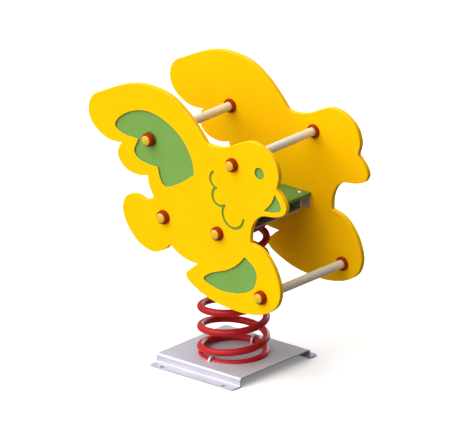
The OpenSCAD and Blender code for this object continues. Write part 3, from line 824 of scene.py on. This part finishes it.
@dataclass
class SidePanel:
    """One routed panel with the coloured inlays in its pockets."""

    side: Side
    inner_face: float = 0.163
    outer_face: float = 0.178
    outline_edge: float = 0.002
    outline_steps: int = 4
    pocket_edge: float = 0.0008
    pocket_steps: int = 2
    pocket_depth: float = 0.008
    through_share: float = 0.9
    inlay_edge: float = 0.0005
    hole_radius: float = 0.0055
    hole_tolerance: float = 0.0004

    @property
    def through_depth(self) -> float:
        """Depth past which a wall counts as going through the whole sheet."""
        return self.through_share * (self.outer_face - self.inner_face)

    def lies_on(self, edge: bmesh.types.BMEdge, face: float) -> bool:
        """Tells whether an edge lies in one of the panel's two faces.

        Args:
            edge: Edge to test.
            face: Distance of that face from the middle of the rider.

        Returns:
            True if both its ends do.
        """
        return all(abs(abs(vert.co.y) - face) < MERGE_DISTANCE for vert in edge.verts)

    def wall_at(self, edge: bmesh.types.BMEdge) -> bmesh.types.BMFace:
        """Finds the face beside an edge that goes across the sheet."""
        return min(edge.link_faces, key=lambda face: abs(face.normal.y))

    def wall_depth(self, edge: bmesh.types.BMEdge) -> float:
        """Gives the depth of the wall that goes down from an edge.

        Args:
            edge: Edge in one of the panel's faces.

        Returns:
            How far the wall reaches across the sheet.
        """
        levels = [abs(vert.co.y) for vert in self.wall_at(edge).verts]
        return max(levels) - min(levels)

    def is_pocket_rim(self, edge: bmesh.types.BMEdge) -> bool:
        """Tells whether an edge is the rim of a pocket in the outer face.

        Args:
            edge: Edge to test.

        Returns:
            True if its wall ends inside the sheet.
        """
        if not (is_sharp(edge) and self.lies_on(edge, self.outer_face)):
            return False
        return self.wall_depth(edge) < self.through_depth

    def is_outline(self, edge: bmesh.types.BMEdge) -> bool:
        """Tells whether an edge is part of the bird's outline on either face.

        Args:
            edge: Edge to test.

        Returns:
            True if its wall goes through the sheet and isn't that of a bolt hole.
        """
        on_face = self.lies_on(edge, self.outer_face) or self.lies_on(edge, self.inner_face)
        if not (on_face and is_sharp(edge)):
            return False
        if self.wall_depth(edge) < self.through_depth:
            return False
        return not self.in_bolt_hole(edge)

    def in_bolt_hole(self, edge: bmesh.types.BMEdge) -> bool:
        """Tells whether an edge belongs to a bolt hole, whose wall turns its face to the hole's middle.

        Args:
            edge: Edge whose wall goes through the sheet.

        Returns:
            True if that wall lies on a circle of the hole's radius.
        """
        wall = self.wall_at(edge)
        middle = wall.calc_center_median() + wall.normal * self.hole_radius
        spread = [abs((Vector((vert.co.x, middle.y, vert.co.z)) - middle).length - self.hole_radius)
                  for vert in wall.verts]
        return max(spread) < self.hole_tolerance and edge.calc_length() < self.hole_radius

    def is_core(self, face: bmesh.types.BMFace) -> bool:
        """Tells whether a face lies inside a pocket, below the sheet's coloured skin.

        Args:
            face: Face to test.

        Returns:
            True if all its corners do.
        """
        levels = [abs(vert.co.y) for vert in face.verts]
        floor = self.outer_face - self.pocket_depth - MERGE_DISTANCE
        skin = self.outer_face - self.pocket_edge + MERGE_DISTANCE
        return min(levels) > floor and max(levels) < skin

    def build(self) -> None:
        """Rounds the outline and the pocket rims, shows the core in the pockets and dresses the inlays."""
        side = self.side.value
        node = f"{side}_panel"
        bm = merged_solid(node)
        round_edges(bm, self.pocket_edge, self.pocket_steps, self.is_pocket_rim)
        for face in bm.faces:
            face.material_index = int(self.is_core(face))
        round_edges(bm, self.outline_edge, self.outline_steps, self.is_outline)
        sheet = to_object(bm, f"{node}_sheet", PANEL_SHEET, INLAY_SHEET)
        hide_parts(node)
        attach(sheet, Body.RIDER.value)
        for name in ("wing", "foot", "beak", "eye"):
            rounded_piece(f"{side}_{name}_inlay", Body.RIDER, INLAY_SHEET, self.inlay_edge)
        rounded_piece(f"{side}_neck_inlay", Body.RIDER, NECK_SHEET, self.inlay_edge)


@dataclass
class Crossbars:
    """Handle bar, back bar and foot bar with their end plugs and collars."""

    tube_edge: float = 0.0006
    collar_edge: float = 0.0008

    def build(self) -> None:
        """Dresses the tubes, the plugs inside them and the collars."""
        for name in ("handle_bar", "back_bar", "foot_bar"):
            rounded_piece(name, Body.RIDER, BAR_COAT, self.tube_edge)
            rounded_piece(f"{name}_collars", Body.RIDER, CAP_PLASTIC, self.collar_edge)
            dress_inside(f"{name}_plugs", BOLT_ZINC)


@dataclass
class BoltCaps:
    """Bolts through one panel under their caps and lids."""

    side: Side
    cap_edge: float = 0.0006
    lid_edge: float = 0.0006
    bolt_edge: float = 0.0006

    def build(self) -> None:
        """Dresses the bolts, the cap bases and the lids of this side."""
        side = self.side.value
        rounded_piece(f"{side}_cap_bases", Body.RIDER, CAP_PLASTIC, self.cap_edge)
        rounded_piece(f"{side}_cap_lids", Body.RIDER, LID_PLASTIC, self.lid_edge)
        rounded_piece(f"{side}_panel_bolts", Body.RIDER, BOLT_ZINC, self.bolt_edge)
        dress_inside(f"{side}_bar_bolts", BOLT_ZINC)


@dataclass
class PanelNuts:
    """Washers and nuts of the panel bolts, inside the bracket's tabs."""

    nut_edge: float = 0.0005
    washer_edge: float = 0.00025

    def build(self) -> None:
        """Rounds the corners of the washers and nuts."""
        rounded_piece("panel_bolt_washers", Body.RIDER, BOLT_ZINC, self.washer_edge)
        rounded_piece("panel_bolt_nuts", Body.RIDER, BOLT_ZINC, self.nut_edge)


# Studio


def direction(azimuth_deg: float, elevation_deg: float) -> Vector:
    """Gives the way from the rider to a camera or a light.

    Args:
        azimuth_deg: Angle round the rider; 0 is from -Y and 90 from +X.
        elevation_deg: Angle above the ground.

    Returns:
        A vector of length 1.
    """
    turn, rise = math.radians(azimuth_deg), math.radians(elevation_deg)
    return Vector((math.sin(turn) * math.cos(rise), -math.cos(turn) * math.cos(rise), math.sin(rise)))


@dataclass
class SoftLight:
    """One far light with a wide disc, so that its shadows are soft."""

    name: str
    azimuth_deg: float
    elevation_deg: float
    strength: float
    disc_deg: float
    distance: float = 4.0

    def build(self) -> None:
        """Places the light; only its direction matters."""
        lamp = bpy.data.lights.new(self.name, "SUN")
        lamp.energy = self.strength
        lamp.angle = math.radians(self.disc_deg)
        holder = bpy.data.objects.new(self.name, lamp)
        away = direction(self.azimuth_deg, self.elevation_deg)
        holder.location = away * self.distance
        holder.rotation_euler = (-away).to_track_quat("-Z", "Y").to_euler()
        bpy.context.scene.collection.objects.link(holder)


@dataclass
class Studio:
    """Pale floor, soft lights and the camera of the photograph."""

    camera_azimuth_deg: float = 40.6
    camera_elevation_deg: float = 20.9
    camera_distance: float = 6.0
    frame_width: float = 1.296
    frame_right: float = 0.0109
    frame_up: float = 0.3839
    floor_size: float = 24.0
    floor_cells: int = 8
    floor_drop: float = 0.0004
    floor_paint: Rgb = (250, 250, 250)
    floor_bounce: Rgb = (115, 115, 115)
    floor_roughness: float = 0.7
    floor_glow: float = 0.2
    sky_azimuth_deg: float = -40.0
    sky_elevation_deg: float = 40.0
    sky_bright: float = 0.60
    sky_dim: float = 0.04
    bright_from: float = 0.9
    dim_from: float = -0.6

    def build(self) -> None:
        """Makes the floor, the sky, the lights and the camera."""
        self.make_floor()
        self.make_sky()
        self.make_camera()
        SoftLight("key_light", azimuth_deg=-16.0, elevation_deg=40.0, strength=3.0, disc_deg=76.0).build()
        SoftLight("top_light", azimuth_deg=-70.0, elevation_deg=68.0, strength=1.0, disc_deg=60.0).build()
        SoftLight("back_light", azimuth_deg=192.0, elevation_deg=13.0, strength=1.3, disc_deg=40.0).build()
        bpy.context.scene.view_settings.view_transform = "Standard"

    def make_floor(self) -> None:
        """Lays a plain pale floor, which throws little light back up at the rider."""
        bm = bmesh.new()
        bmesh.ops.create_grid(bm, x_segments=self.floor_cells, y_segments=self.floor_cells,
                              size=self.floor_size / 2.0)
        bmesh.ops.translate(bm, vec=(0.0, 0.0, -self.floor_drop), verts=bm.verts)
        mesh = bpy.data.meshes.new("floor")
        bm.to_mesh(mesh)
        bm.free()
        material = bpy.data.materials.new("floor_paint")
        material.use_nodes = True
        wiring = Wiring(material.node_tree)
        seen = wiring.add("ShaderNodeLightPath").outputs["Is Camera Ray"]
        paint = wiring.mix(seen, linear(self.floor_bounce), linear(self.floor_paint))
        shader = material.node_tree.nodes["Principled BSDF"]
        wiring.feed(paint, shader.inputs["Base Color"])
        wiring.feed(self.floor_roughness, shader.inputs["Roughness"])
        wiring.feed(WHITE, shader.inputs["Emission Color"])
        wiring.feed(wiring.math("MULTIPLY", seen, self.floor_glow), shader.inputs["Emission Strength"])
        mesh.materials.append(material)
        floor = bpy.data.objects.new("floor", mesh)
        bpy.context.scene.collection.objects.link(floor)

    def make_sky(self) -> None:
        """Lights the scene from all sides, most from the side of the key light."""
        sky = bpy.data.worlds.new("studio_sky")
        sky.use_nodes = True
        wiring = Wiring(sky.node_tree)
        towards = wiring.add("ShaderNodeTexCoord").outputs["Generated"]
        bright_side = direction(self.sky_azimuth_deg, self.sky_elevation_deg)
        facing = wiring.add("ShaderNodeVectorMath", {"operation": "DOT_PRODUCT"},
                            {0: towards, 1: bright_side}).outputs["Value"]
        strength = wiring.ramp(facing, self.dim_from, self.bright_from, self.sky_dim, self.sky_bright)
        background = sky.node_tree.nodes["Background"]
        wiring.feed(WHITE, background.inputs["Color"])
        wiring.feed(strength, background.inputs["Strength"])
        bpy.context.scene.world = sky

    def make_camera(self) -> None:
        """Sets the camera at the photograph's angle, with parallel lines kept parallel."""
        lens = bpy.data.cameras.new("photo_camera")
        lens.type = "ORTHO"
        lens.ortho_scale = self.frame_width
        back = direction(self.camera_azimuth_deg, self.camera_elevation_deg)
        right = direction(self.camera_azimuth_deg + 90.0, 0.0)
        up = back.cross(right)
        camera = bpy.data.objects.new("photo_camera", lens)
        camera.location = right * self.frame_right + up * self.frame_up + back * self.camera_distance
        camera.rotation_euler = (-back).to_track_quat("-Z", "Y").to_euler()
        bpy.context.scene.collection.objects.link(camera)
        bpy.context.scene.camera = camera


def main() -> None:
    """Builds the studio and every sub-assembly in order."""
    logging.basicConfig(level=logging.INFO, format="%(name)s: %(message)s")
    assemblies = [Studio(), GroundPlate(), CoilSpring(), SeatGroup(), SidePanel(Side.RIGHT),
                  SidePanel(Side.LEFT), Crossbars(), BoltCaps(Side.RIGHT), BoltCaps(Side.LEFT), PanelNuts()]
    for assembly in assemblies:
        LOG.info("building %s", type(assembly).__name__)
        assembly.build()


if __name__ == "__main__":
    main()
